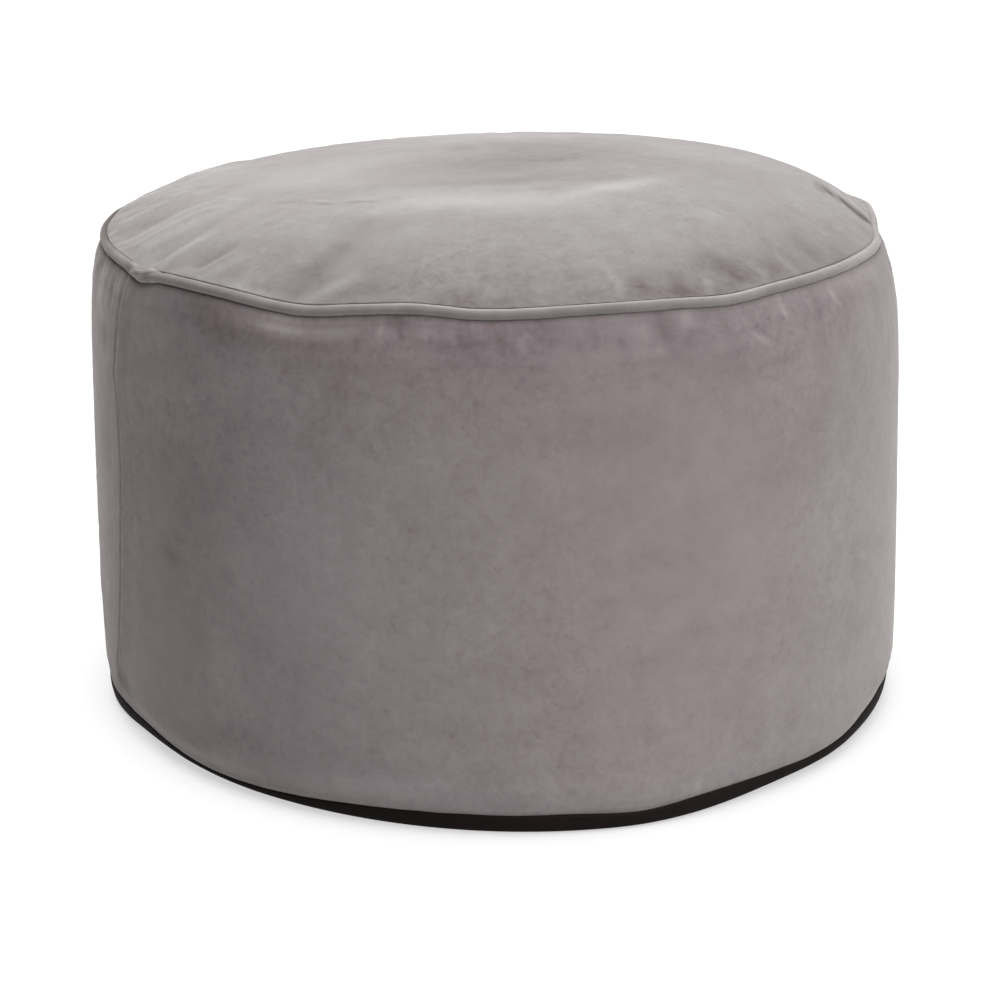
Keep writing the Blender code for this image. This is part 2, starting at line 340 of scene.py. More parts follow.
def besidePiping(azimuth, angle, clear):
    # a point that clears the piping, at an angle round its section: 0 is outward, 90 its top
    reach = ringHalf(azimuth) + clear
    turn = math.radians(angle)
    return onCircle(azimuth, ringReach(azimuth) + reach * math.cos(turn),
                    ringHeight(azimuth) + reach * math.sin(turn), ringMiddleX)


def tuckUnderPiping(settings):
    # ring by ring round the piping into its seam, then in over the filling
    def beside(angle):
        return lambda co: besidePiping(azimuthOf(co, ringMiddleX), angle, settings["seamClear"])
    steps = [beside(angle) for angle in settings["tuckAngles"]]
    steps.append(lambda co: onCircle(azimuthOf(co, ringMiddleX), settings["closingRadius"],
                                     settings["closingHeight"], ringMiddleX))
    return steps


def pullIn(share, height):
    return lambda co: Vector((co.x * share, co.y * share, height))


# folds, pile marks, and the painted shade and painted highlights that go with them

def lineShare(place, start, end):
    # how far along a line from start to end a place is, and how far off it
    alongX, alongY = end[0] - start[0], end[1] - start[1]
    offX, offY = place[0] - start[0], place[1] - start[1]
    share = (offX * alongX + offY * alongY) / (alongX ** 2 + alongY ** 2)
    return share, math.hypot(offX - alongX * share, offY - alongY * share)


def lineStrength(place, start, end, width, fade=0.22):
    # 1 along the line, and fading out beside it and past its ends
    share, off = lineShare(place, start, end)
    if off > 3 * width or not -fade < share < 1 + fade:
        return 0.0
    ends = ease((share + fade) / (2 * fade)) * ease((1 + fade - share) / (2 * fade))
    return ends * bell(off, width)


def planPlace(azimuth, radius):
    # millimetres on the crown, seen from above
    angle = math.radians(azimuth)
    return radius * math.sin(angle), -radius * math.cos(angle)


def wallPlace(azimuth, share):
    # millimetres along the unrolled wall, and up it
    return azimuth * math.pi / 180 * band["unrolledRadius"], share * band["unrolledHeight"]


def markStrength(place, middle, size, slant):
    # 1 in the middle of an oval mark, and fading out
    turn = math.radians(slant)
    x, y = place[0] - middle[0], place[1] - middle[1]
    along = (x * math.cos(turn) + y * math.sin(turn)) / size[0]
    across = (-x * math.sin(turn) + y * math.cos(turn)) / size[1]
    return math.exp(-(along ** 2 + across ** 2))


def alongTable(rows, share):
    # eases from row to row: each has a share and a value
    for low, high in zip(rows, rows[1:]):
        if share <= high[0]:
            part = ease((share - low[0]) / (high[0] - low[0]))
            return low[1] + (high[1] - low[1]) * part
    return rows[-1][1]


def writeOn(piece, name, values):
    attribute = piece.data.attributes.new(name, "FLOAT", "POINT")
    attribute.data.foreach_set("value", values)


# the top panel

crown = {
    "slack": 0.03,                           # how much larger the cloth is than the filling
    "puckerShare": 0.5,                      # of what the cloth moves
    "mostPucker": 0.005,
    "rimPoints": 480,
    "relaxRounds": 5,
    "lookFrom": 0.5,                         # height that rays look down from
    "seamClear": 0.00025,                    # between cloth and piping
    "rimAngle": 112,                         # where the crown meets the piping
    "tuckAngles": (132, 155, 178),           # on round the piping, down to the seam
    "closingRadius": 0.16,                   # of the last ring, inside the filling
    "closingHeight": 0.2925,
    "waves": ((18, 0.4), (50, 0.12)),        # fineness and mm
    "ruffled": (0.8, 0.5, 14),               # how uneven the pile is: usual, change, fineness
    "rimFlat": 1,                            # mm beside the piping with no folds
    "rimFade": 8,                            # mm that they fade in over
    # start azimuth and radius, end azimuth and radius, width, lift, tone: degrees and mm; the tone is
    # painted shade down the valleys and painted highlight along the ridges
    "folds": (
        # beside the upright seam, at the left
        (-88, 229, -85, 203, 5.0, -0.7, -0.20),
        (-76, 233, -79, 206, 2.4, 0.9, 0.40),
        (-79, 206, -86, 182, 2.6, 0.5, 0.28),
        (-71, 226, -71, 200, 4.2, -0.7, -0.14),
        (-61, 231, -59.5, 187, 2.8, 1.0, 0.42),
        (-59.5, 187, -60, 170, 3.2, 0.5, 0.22),
        (-56, 226, -56, 196, 3.2, -0.5, -0.16),
        (-52, 231, -52, 206, 2.5, 1.0, 0.46),
        (-52, 206, -51.5, 193, 3.0, 0.4, 0.18),
        (-46.5, 223, -44, 209, 4.6, -1.0, -0.30),
        (-44, 209, -41, 199, 6.0, -0.5, -0.18),
        (-43.5, 235, -40, 222, 2.8, 0.9, 0.42),
        (-40, 222, -38, 211, 4.0, 0.4, 0.20),
        (-33, 227, -32, 212, 3.2, 0.3, 0.14),
        (-27, 222, -24, 182, 8.0, -0.4, -0.26),
        (-24, 180, -25, 158, 9.0, -0.2, -0.14),
        (-26, 236, -19, 214, 4.0, 0.6, 0.38),
        (-55, 155, -44, 147, 1.5, -0.35, -0.24),
        (-44, 147, -27, 132, 1.3, -0.55, -0.46),
        (-46, 144, -28, 129, 1.5, 0.35, 0.34),
        (-68, 166, -62, 159, 1.8, 0.4, 0.30),
        # along the front and the right
        (-2, 232, -3, 220, 3.5, -0.4, -0.16),
        (7, 232, 6, 219, 3.0, 0.35, 0.12),
        (17.5, 229, 17, 209, 2.6, 0.5, 0.34),
        (21, 229, 20.5, 218, 4.0, -0.4, -0.24),
        (26, 232, 26, 217, 4.5, -0.4, -0.20),
        (30, 234, 31.5, 219, 2.4, 0.7, 0.32),
        (36, 229, 36, 212, 6.0, -0.4, -0.22),
        (41, 230, 40, 218, 2.2, 0.4, 0.28),
        (46.5, 233, 46, 217, 2.2, 0.6, 0.28),
        (54, 229, 52, 211, 6.0, -0.15, -0.10),
        (62, 224, 61, 205, 3.0, 0.3, 0.18),
        (67, 228, 65, 210, 2.6, -0.15, -0.06),
        # the pleat at the right corner: painted shade down it, with painted highlights on its sides
        (83.6, 233, 85.6, 225, 1.6, -1.2, -1.30),
        (85.4, 227, 87.4, 215, 1.6, -1.2, -1.20),
        (87.2, 217, 89.2, 199, 1.7, -1.0, -0.95),
        (86.6, 232, 90.6, 203, 1.8, 0.7, 0.40),
        (81.5, 231, 85.4, 208, 1.6, 0.4, 0.24),
        # the bulge over the piping at the back left, and a few gathers behind
        (-92, 229, -97, 198, 5.0, 0.5, 0.20),
        (-106, 206, -117, 186, 15.0, 2.2, 0.0),
        (-114, 182, -123, 164, 12.0, 0.9, 0.0),
        (-118, 230, -116, 200, 5.0, -0.9, -0.30),
        (-112, 230, -110, 204, 4.0, 0.7, 0.25),
        (-150, 230, -154, 204, 5.0, 0.7, 0.25),
        (-163, 230, -161, 206, 5.0, -0.8, -0.30),
        (158, 230, 161, 200, 5.0, 0.9, 0.30),
        (149, 230, 147, 206, 4.5, -0.8, -0.30),
        (118, 230, 115, 202, 4.5, 0.8, 0.25),
        (105, 230, 106, 206, 4.0, -0.7, -0.25),
    ),
    # azimuth, radius, half length, half width, slant, tone: pile patches, and painted light where the
    # slopes catch or lose the light, such as the painted highlight in a band across the front of the
    # middle
    "marks": (
        (-17, 134, 44, 14, 3, 0.44),
        (8, 130, 36, 17, 3, 0.44),
        (36, 123, 36, 9, 42, 0.58),
        (-80, 105, 56, 46, 20, 0.34),
        (8, 86, 60, 13, 4, -0.24),
        (30, 24, 76, 34, 0, -0.46),
        (140, 50, 52, 24, 0, -0.26),
        (150, 104, 84, 20, 0, 0.22),
        (40, 86, 30, 12, 0, -0.14),
        (180, 122, 50, 36, 0, 0.26),
        (0, 103, 60, 10, 4, 0.17),
        (45, 54, 24, 12, 0, 0.18),
        (-55, 40, 30, 16, 0, 0.12),
        (120, 96, 40, 24, 0, 0.14),
        (-104, 72, 40, 26, 0, 0.14),
        (0, 223, 12, 8, 0, 0.18),
        (-95, 226, 18, 10, 10, 0.95),
        (-108, 192, 30, 20, 0, 0.42),
        (-36, 235, 26, 6, -36, 0.42),
        (-103, 236, 26, 10, 60, 0.22),
        (95, 125, 32, 30, 0, 0.24),
        (-160, 43, 12, 7, 0, -0.14),
        (-75, 62, 12, 6, 30, -0.14),
        (63, 45, 14, 6, 0, -0.16),
        (95, 78, 14, 7, 0, -0.12),
        (-30, 111, 26, 13, -30, 0.18),
        (-30, 160, 22, 11, -30, -0.14),
        (-30, 235, 15, 5, -30, 0.26),
        (15, 112, 13, 3, 5, -0.34),
        (-80, 160, 10, 6, 30, -0.20),
        (33, 209, 16, 11, 20, -0.20),
        (40, 223, 18, 9, 38, -0.26),
        (47, 211, 8, 12, 45, -0.10),
        (26, 230, 24, 3.5, 26, -0.26),
        (-3, 230, 20, 4, 0, -0.08),
        (-14, 230, 26, 4, -14, 0.20),
        (-48, 222, 30, 14, -48, -0.14),
        (-100, 180, 70, 30, 80, 0.10),
        (150, 110, 80, 40, 60, 0.08),
        (180, 142, 44, 12, 0, 0.22),
        (-165, 150, 60, 22, -10, 0.30),
        (-140, 120, 70, 36, -50, 0.12),
        (-160, 190, 60, 26, 20, -0.14),
        (120, 190, 50, 24, 60, -0.12),
    ),
    # radius, and painted shade there: darker toward the edge at the piping
    "paintedEdgeShade": ((0, 0.0), (150, 0.0), (178, -0.05), (200, -0.22), (216, -0.39), (228, -0.52),
            (250, -0.50)),
    # azimuth, and how strongly that painted shade shows there: most at the front
    "paintedEdgeShadeStrength": ((-180, 0.3), (-75, 0.4), (-62, 0.15), (-45, 0.45), (-25, 1.0), (55, 1.0),
                (75, 0.6), (92, 0.1), (180, 0.3)),
}


def addTopPanel(material):
    bpy.ops.mesh.primitive_circle_add(vertices=crown["rimPoints"], radius=1, fill_type="NOTHING")
    piece = startPiece("crownTop")
    bpy.ops.object.mode_set(mode="EDIT")
    bpy.ops.mesh.select_all(action="SELECT")
    bpy.ops.mesh.fill_grid(span=crown["rimPoints"] // 4)
    bpy.ops.object.mode_set(mode="OBJECT")
    isRim = [abs(p.co.length - 1) < 0.0005 for p in piece.data.vertices]
    for index, point in enumerate(piece.data.vertices):
        edge = besidePiping(azimuthOf(point.co), crown["rimAngle"], crown["seamClear"])
        if isRim[index]:
            point.co = edge
            continue
        x = ringMiddleX + (edge.x - ringMiddleX) * point.co.length
        y = edge.y * point.co.length
        above = Vector((x, y, crown["lookFrom"]))
        hit, place, normal, face = nodes["top_panel"].ray_cast(above, Vector((0, 0, -1)))
        point.co = place if hit else Vector((x, y, edge.z))
    relaxInside(piece, isRim, crown["relaxRounds"])
    fillOut(piece, [i for i, rim in enumerate(isRim) if rim], crown)
    shapeTopPanel(piece, isRim)
    applyModifier(piece, "SUBSURF", levels=1, render_levels=1)
    selectRim(piece)
    foldIn(piece, tuckUnderPiping(crown))
    faceOutward(piece)
    finishPiece(piece, "top_panel", material)
    return piece


def shapeTopPanel(piece, isRim):
    folds = [(planPlace(*row[0:2]), planPlace(*row[2:4]), *row[4:]) for row in crown["folds"]]
    marks = [(planPlace(*row[0:2]), *row[2:]) for row in crown["marks"]]
    moves, tones = [], []
    for point in piece.data.vertices:
        place = ((point.co.x - ringMiddleX) * mmPerMetre, point.co.y * mmPerMetre)
        turned = alongTable(crown["paintedEdgeShadeStrength"], azimuthOf(point.co, ringMiddleX))
        lift, tone = 0.0, alongTable(crown["paintedEdgeShade"], math.hypot(*place)) * turned
        for start, end, width, height, shade in folds:
            strength = lineStrength(place, start, end, width)
            lift += height * strength
            tone += shade * strength
        for middle, length, breadth, slant, shade in marks:
            tone += shade * markStrength(place, middle, (length, breadth), slant)
        lift += wavesAt(point.co, crown["waves"])
        edgeGap = ringRadius * mmPerMetre - math.hypot(*place)
        held = ease((edgeGap - crown["rimFlat"]) / crown["rimFade"])
        moves.append(point.normal * lift * millimetre * held)
        tones.append(tone)
    for index, point in enumerate(piece.data.vertices):
        if not isRim[index]:
            point.co += moves[index]
    writeOn(piece, "pileToneAndPaintedLight", tones)             # pile marks with painted shade and painted highlights: above 0 paler, below 0 darker
    usual, change, fineness = crown["ruffled"]
    ruffles = [usual + change * noise.noise(p.co * fineness) for p in piece.data.vertices]
    writeOn(piece, "ruffled", ruffles)


# the side band

band = {
    "slack": 0.02,
    "puckerShare": 0.35,
    "mostPucker": 0.003,
    "columns": 480,
    "rows": 92,                              # from the foot to the piping
    "relaxRounds": 4,
    "lookFrom": 0.30,                        # radius that rays look in from
    "unrolledRadius": 250,                   # mm, where azimuths are turned to lengths
    "unrolledHeight": 285,
    "seamClear": 0.00025,
    "topShare": 0.985,                       # of the height, where it meets the piping
    "tuckAngles": (306, 285, 258, 230, 200, 182),
    "closingRadius": 0.16,
    "closingHeight": 0.2875,
    "footShare": 0.25,                       # of the height, that the foot's swell reaches up
    "footFold": 0.985,                       # share of the radius, where it turns in
    "floorShare": 0.6,                       # and of its last ring, above the base cloth
    "floorHeight": 0.0115,
    "waves": ((16, 0.45), (50, 0.15)),
    "ruffled": (1.0, 0.4, 12),
    "smoothedBy": 0.7,                       # how much less uneven, where the pile is flat
    "edgeFade": 0.02,                        # of the height, beside both seams
    "seamAzimuth": -59.2,                    # of the upright seam, at the piping
    "seamHalf": 4.0,                         # close columns reach this far each side of it
    "seamColumns": 56,
    "seamReach": 26.0,                       # columns lean along with it up to here
    "seamHeld": 0.3,                         # degrees beside it that the filling can't move
    # mm from the upright seam, width, and lift or tone; the tones are painted shade in the seam's
    # groove and a painted highlight on its raised side
    "seamGroove": ((-1.4, 0.9, -0.55), (0.6, 1.2, 0.35)),
    "seamTones": ((-1.4, 0.8, -0.8), (0.3, 0.7, 0.5)),
    # share of the height, and how far the seam stands off its top azimuth
    "seamPath": ((0.0, -9.0), (0.10, -6.2), (0.20, -3.8), (0.35, -2.0), (0.55, -0.3),
                 (0.70, -0.5), (0.81, -1.6), (0.91, -0.3), (1.0, 0.0)),
    # share of the height, and how far its middle lies to the left, in mm
    "lean": ((0.0, -0.3), (0.30, 0.3), (0.58, 1.1), (0.79, 1.9), (0.92, 2.9), (1.0, 4.5)),
    # start azimuth and share, end azimuth and share, width in mm, lift in mm, tone; the tone is
    # painted shade down the valleys and painted highlight along the ridges
    "folds": (
        # gathers at the left, under the piping
        (-78, 0.99, -80, 0.93, 2.2, -0.6, -0.45),
        (-74, 0.985, -77.5, 0.93, 2.0, 0.5, 0.30),
        (-72, 0.99, -76, 0.95, 2.0, -0.5, -0.40),
        (-69, 0.985, -70, 0.93, 1.8, -0.5, -0.40),
        (-67.7, 0.985, -68.3, 0.91, 2.0, 0.4, 0.35),
        (-66, 0.985, -66.5, 0.90, 2.0, -0.6, -0.45),
        (-64.8, 0.98, -65, 0.91, 1.6, 0.4, 0.30),
        (-63.5, 0.98, -63.5, 0.92, 1.6, -0.4, -0.30),
        (-88, 0.98, -86, 0.89, 3.0, -0.7, -0.25),
        (-97, 0.98, -98, 0.90, 3.2, 0.6, 0.25),
        # puckers along the front and the right
        (-13.5, 0.99, -14, 0.95, 2.0, 0.4, 0.32),
        (-11.6, 0.99, -11, 0.955, 2.0, -0.5, -0.34),
        (-8.2, 0.985, -8, 0.955, 2.0, 0.35, 0.24),
        (-5, 0.985, -5, 0.96, 2.0, 0.3, 0.18),
        (-3.5, 0.985, -3.5, 0.95, 2.0, -0.3, -0.20),
        (1.5, 0.98, 1, 0.94, 2.5, -0.2, -0.15),
        (4.5, 0.98, 3.6, 0.945, 1.8, 0.4, 0.28),
        (6.8, 0.985, 6.4, 0.955, 3.5, -0.3, -0.18),
        (12.5, 0.985, 12.8, 0.95, 3.0, -0.4, -0.26),
        (15.6, 0.96, 16.8, 0.94, 1.5, -0.3, -0.28),
        (16.8, 0.94, 16.3, 0.90, 1.5, -0.3, -0.26),
        (19, 0.98, 19.4, 0.95, 2.0, 0.3, 0.22),
        (21.5, 0.985, 22.5, 0.945, 4.0, -0.4, -0.26),
        (21, 0.94, 22, 0.915, 1.5, 0.3, 0.20),
        (25.5, 0.99, 25.7, 0.97, 4.0, 0.3, 0.28),
        (34.5, 0.955, 37.5, 0.91, 1.2, 0.3, 0.22),
        (36, 0.955, 39, 0.915, 1.2, -0.3, -0.22),
        (41, 0.985, 41.2, 0.955, 2.6, 0.5, 0.42),
        (48, 0.985, 48, 0.93, 3.4, -0.4, -0.20),
        (51.5, 0.985, 53, 0.945, 1.8, 0.4, 0.32),
        (55, 0.98, 54.7, 0.965, 2.0, -0.4, -0.32),
        (76, 0.985, 77, 0.90, 1.8, 0.6, 0.40),
        (79.5, 0.985, 79, 0.93, 2.0, -0.8, -0.40),
        (83, 0.985, 82, 0.93, 2.6, 0.6, 0.20),
        (25.8, 0.0, 26.4, 0.05, 1.6, 0.3, 0.35),
        # behind
        (104, 0.985, 103, 0.92, 3.0, -0.8, -0.3),
        (131, 0.985, 130, 0.90, 3.0, 0.7, 0.3),
        (155, 0.985, 156, 0.92, 3.0, -0.7, -0.3),
        (-128, 0.985, -129, 0.91, 3.0, -0.8, -0.3),
        (-162, 0.985, -160, 0.93, 3.0, 0.6, 0.3),
    ),
    # azimuth, share, half width, half height, slant, tone: pile patches, and painted light: painted
    # shade over the left of the wall and its foot there, and thin painted highlights and painted shade
    # just under the piping and along the foot
    "marks": (
        (-27, 0.975, 20, 3.0, 0, 0.62),
        (-20, 0.972, 12, 3, 0, 0.30),
        (-30, 0.93, 50, 12, 0, -0.16),
        (-43, 0.45, 46, 90, 0, -0.16),
        (-51, 0.92, 22, 14, 0, 0.18),
        (-48, 0.89, 6, 7, 0, 0.25),
        (-43, 0.965, 34, 8, 0, -0.30),
        (-61, 0.975, 12, 6, 0, 0.34),
        (60, 0.984, 70, 4, 0, 0.34),
        (-38, 0.62, 40, 44, 0, -0.13),
        (-37, 0.93, 8, 8, 0, -0.20),
        (-55, 0.50, 16, 90, 0, -0.14),
        (-47, 0.46, 8, 6, 0, -0.25),
        (-45, 0.50, 4, 3, 0, -0.25),
        (-36, 0.46, 4, 4, 0, -0.22),
        (-38.5, 0.27, 9, 22, 0, 0.18),
        (-38, 0.12, 12, 7, 0, -0.20),
        (-33, 0.12, 12, 8, 0, -0.15),
        (-33, 0.35, 14, 14, 0, -0.12),
        (-40, 0.04, 16, 7, 0, 0.20),
        (-16, 0.05, 40, 9, 0, 0.42),
        (20, 0.045, 110, 10, 0, 0.12),
        (68, 0.05, 20, 12, 0, -0.20),
        (73, 0.02, 18, 5, 0, -0.40),
        (13.7, 0.45, 8, 2.5, 8, -0.15),
        (18, 0.32, 16, 3.5, 8, -0.13),
        (26, 0.36, 14, 2.5, 0, -0.15),
        (33.5, 0.27, 3, 6, 0, -0.13),
        (19, 0.17, 4, 5, 0, -0.15),
        (28, 0.22, 3, 9, -8, -0.11),
        (41.5, 0.12, 4, 6, 0, -0.11),
        (21, 0.515, 9, 2.2, -32, -0.18),
        (24.5, 0.52, 4, 3, 0, -0.13),
        (22.5, 0.69, 6, 2.5, 0, -0.13),
        (24, 0.71, 4, 3, 40, -0.15),
        (20, 0.885, 3.5, 2.5, 0, -0.30),
        (37, 0.88, 40, 2.5, 3, -0.12),
        (5, 0.965, 50, 6, 0, -0.16),
        (-18, 0.45, 60, 60, 0, 0.10),
        (-67, 0.905, 12, 8, 0, 0.50),
        (-67, 0.85, 12, 8, 0, -0.35),
        (-66, 0.80, 8, 8, 0, 0.35),
        (-64.5, 0.76, 6, 10, 0, -0.30),
        (-71, 0.68, 12, 18, 0, 0.06),
        (-66, 0.60, 8, 12, 0, -0.20),
        (-70, 0.45, 12, 16, 0, 0.12),
        (-66, 0.38, 6, 10, 0, -0.15),
        (-70, 0.28, 12, 14, 0, 0.12),
        (-80, 0.55, 16, 80, 0, -0.40),
        (-77, 0.14, 20, 28, 0, -0.95),
        (-78, 0.64, 9, 26, 0, -0.36),
        (-65, 0.07, 12, 14, 0, -0.48),
        (-60.5, 0.91, 9, 9, 0, 0.26),
        (110, 0.50, 60, 50, 20, 0.14),
        (150, 0.70, 50, 30, -10, -0.16),
        (-110, 0.40, 60, 60, 0, 0.14),
        (-150, 0.60, 50, 40, 10, -0.16),
        (180, 0.30, 60, 40, 0, 0.14),
    ),
    # share of the height, and painted shade there: darker toward the piping, a little paler at the
    # foot
    "paintedEdgeShade": ((0.0, 0.08), (0.10, 0.03), (0.35, 0.0), (0.51, 0.04), (0.67, -0.02), (0.83, -0.10),
            (0.90, -0.20), (0.95, -0.34), (1.0, -0.40)),
    # azimuth, share, half width, half height of where the pile was smoothed flat
    "smoothed": ((24, 0.5, 62, 120), (-50, 0.3, 40, 60), (170, 0.5, 80, 90), (-120, 0.6, 60, 80)),
}


def columnAzimuth(turn):
    # turn runs evenly round the band from 0 to 1; columns crowd beside the upright seam
    close = band["seamColumns"] / band["columns"]
    if turn < close:
        return band["seamAzimuth"] + band["seamHalf"] * (2 * turn / close - 1)
    free = 360 - 2 * band["seamHalf"]
    return band["seamAzimuth"] + band["seamHalf"] + free * (turn - close) / (1 - close)


def bandPlace(column, share):
    # a point of the band's outer face, and its azimuth
    offSeam = abs(turnBetween(band["seamAzimuth"], column))
    azimuth = column + alongTable(band["seamPath"], share) * ease(1 - offSeam / band["seamReach"])
    middleX = -alongTable(band["lean"], share) * millimetre
    low = seamHeight(azimuth)
    top = ringHeight(azimuth) - ringHalf(azimuth)
    height = low + (top - low) * share
    foot = footSwell(azimuth) * ease(1 - share / band["footShare"])
    if share <= 0:                           # the foot follows the seam of the base cloth
        return azimuth, onCircle(azimuth, seamRadius(azimuth) + foot, height)
    outside = onCircle(azimuth, band["lookFrom"], height, middleX)
    inward = onCircle(azimuth, -1, 0)
    hit, place, normal, face = nodes["side_band"].ray_cast(outside, inward)
    return azimuth, place - inward * foot


def addSideBand(material):
    rows = band["rows"]
    bpy.ops.mesh.primitive_cylinder_add(vertices=band["columns"], radius=1, depth=1,
                                        end_fill_type="NOTHING", location=(0, 0, 0))
    piece = startPiece("velvetWall")
    selectEdges(piece, lambda a, b: abs(a.z - b.z) > 0.5)
    bpy.ops.mesh.subdivide(number_cuts=rows - 1)
    bpy.ops.object.mode_set(mode="OBJECT")
    columns, shares, isRim = [], [], []
    for point in piece.data.vertices:
        turn = (azimuthOf(point.co) / 360) % 1
        turn = round(turn * band["columns"]) % band["columns"] / band["columns"]
        columns.append(columnAzimuth(turn))
        shares.append(round((point.co.z + 0.5) * rows) / rows * band["topShare"])
        isRim.append(shares[-1] <= 0 or shares[-1] >= band["topShare"])
    azimuths = []
    for index, point in enumerate(piece.data.vertices):
        azimuth, point.co = bandPlace(columns[index], shares[index])
        azimuths.append(azimuth)
    relaxInside(piece, isRim, band["relaxRounds"])
    offSeam = [abs(turnBetween(band["seamAzimuth"], column)) for column in columns]
    sewn = [i for i, off in enumerate(offSeam) if isRim[i] or off < band["seamHeld"]]
    fillOut(piece, sewn, band)
    shapeSideBand(piece, columns, shares, azimuths)
    closeSideBand(piece)
    finishPiece(piece, "side_band", material)
    return piece


def shapeSideBand(piece, columns, shares, azimuths):
    folds = [(wallPlace(*row[0:2]), wallPlace(*row[2:4]), *row[4:]) for row in band["folds"]]
    marks = [(wallPlace(*row[0:2]), *row[2:]) for row in band["marks"]]
    smoothed = [(wallPlace(*row[0:2]), row[2:]) for row in band["smoothed"]]
    usual, change, fineness = band["ruffled"]
    tones, ruffles = [], []
    for index, point in enumerate(piece.data.vertices):
        place = wallPlace(turnBetween(0, azimuths[index]), shares[index])
        lift, tone = 0.0, alongTable(band["paintedEdgeShade"], shares[index])
        for start, end, width, height, shade in folds:
            strength = lineStrength(place, start, end, width)
            lift += height * strength
            tone += shade * strength
        for middle, breadth, rise, slant, shade in marks:
            tone += shade * markStrength(place, middle, (breadth, rise), slant)
        flat = sum(markStrength(place, middle, size, 0) for middle, size in smoothed)
        ruffle = usual + change * noise.noise(point.co * fineness)
        ruffles.append(ruffle - band["smoothedBy"] * min(flat, 1))
        offSeam = wallPlace(turnBetween(band["seamAzimuth"], columns[index]), 0)[0]
        lift += bellsAt(band["seamGroove"], offSeam) + wavesAt(point.co, band["waves"])
        tone += bellsAt(band["seamTones"], offSeam)
        toRims = shares[index], band["topShare"] - shares[index]
        ends = ease(toRims[0] / band["edgeFade"]) * ease(toRims[1] / band["edgeFade"])
        outward = Vector((point.co.x, point.co.y, 0)).normalized()
        point.co += outward * lift * millimetre * ends
        tones.append(tone)
    # the wall's tone: pile marks, with painted shade and painted highlights
    writeOn(piece, "pileToneAndPaintedLight", tones)
    writeOn(piece, "ruffled", ruffles)


def closeSideBand(piece):
    selectUpperRim(piece)
    foldIn(piece, tuckUnderPiping(band))
    selectRim(piece)                         # only the foot is still open
    fold = band["footFold"]
    foldIn(piece, [lambda co: Vector((co.x * fold, co.y * fold, co.z)),
                   pullIn(band["floorShare"], band["floorHeight"])])
    faceOutward(piece)


def selectUpperRim(piece):
    selectRim(piece)
    bpy.ops.object.mode_set(mode="OBJECT")
    points = piece.data.vertices
    halfway = band["closingHeight"] / 2
    for edge in piece.data.edges:
        if edge.select and points[edge.vertices[0]].co.z < halfway:
            edge.select = False
    for point in points:
        if point.co.z < halfway:
            point.select = False
    bpy.ops.object.mode_set(mode="EDIT")


# the piping

cordCover = {
    "around": 900,
    "sides": 20,
    "joinAzimuth": -54.0,                    # where its ends overlap in a rumpled sleeve
    "sleeveStart": -5.4,                     # degrees from there
    "sleeveEnd": 3.2,
    "sleeveFades": (0.5, 2.2),               # degrees at its two ends
    "sleeveSwell": (0.0007, 0.0013),         # usual, and more or less where it rumples
    "sleeveTone": (0.2, 1.3),
    # degrees from there, lean over the section, width, and depth or tone
    "lapGrooves": ((-5.2, 0.008, 0.25, 0.0009), (0.6, -0.014, 0.35, 0.0006)),
    # painted shade in the grooves along the two lap edges
    "lapShades": ((-5.2, 0.008, 0.3, 0.8), (0.9, -0.014, 0.3, 0.8)),
    "unevenness": 0.0002,
    "underside": (-50, 35, 0.5),             # angle round the section, width and tone: painted light on the shaded underside
    # azimuth, and painted shade there: darkest at the left, away from the lamp on the right, and paler
    # at the right
    "tones": ((-180, 0.1), (-124, 0.0), (-110, -0.6), (-96, -0.95), (-77, -0.95), (-70, -0.45),
              (-63, -0.05), (-45, -0.08), (-25, -0.10), (-8, -0.25), (18, -0.28), (30, -0.14),
              (45, -0.24), (56, 0.05), (66, 0.22), (90, 0.10), (180, 0.1)),
    # azimuth, and how bright the painted highlight along the upper edge is
    "upperEdgeHighlight": ((-180, 0.5), (-100, 0.0), (-52, 0.0), (-36, 0.05), (-24, 0.35), (-8, 0.85),
               (40, 0.80), (60, 0.5), (80, 0.4), (180, 0.5)),
}


def lapsAt(rows, off, angle):
    # the two edges where one end of the cover laps over the other
    return sum(size * bell(off - middle - lean * angle, width) for middle, lean, width, size in rows)


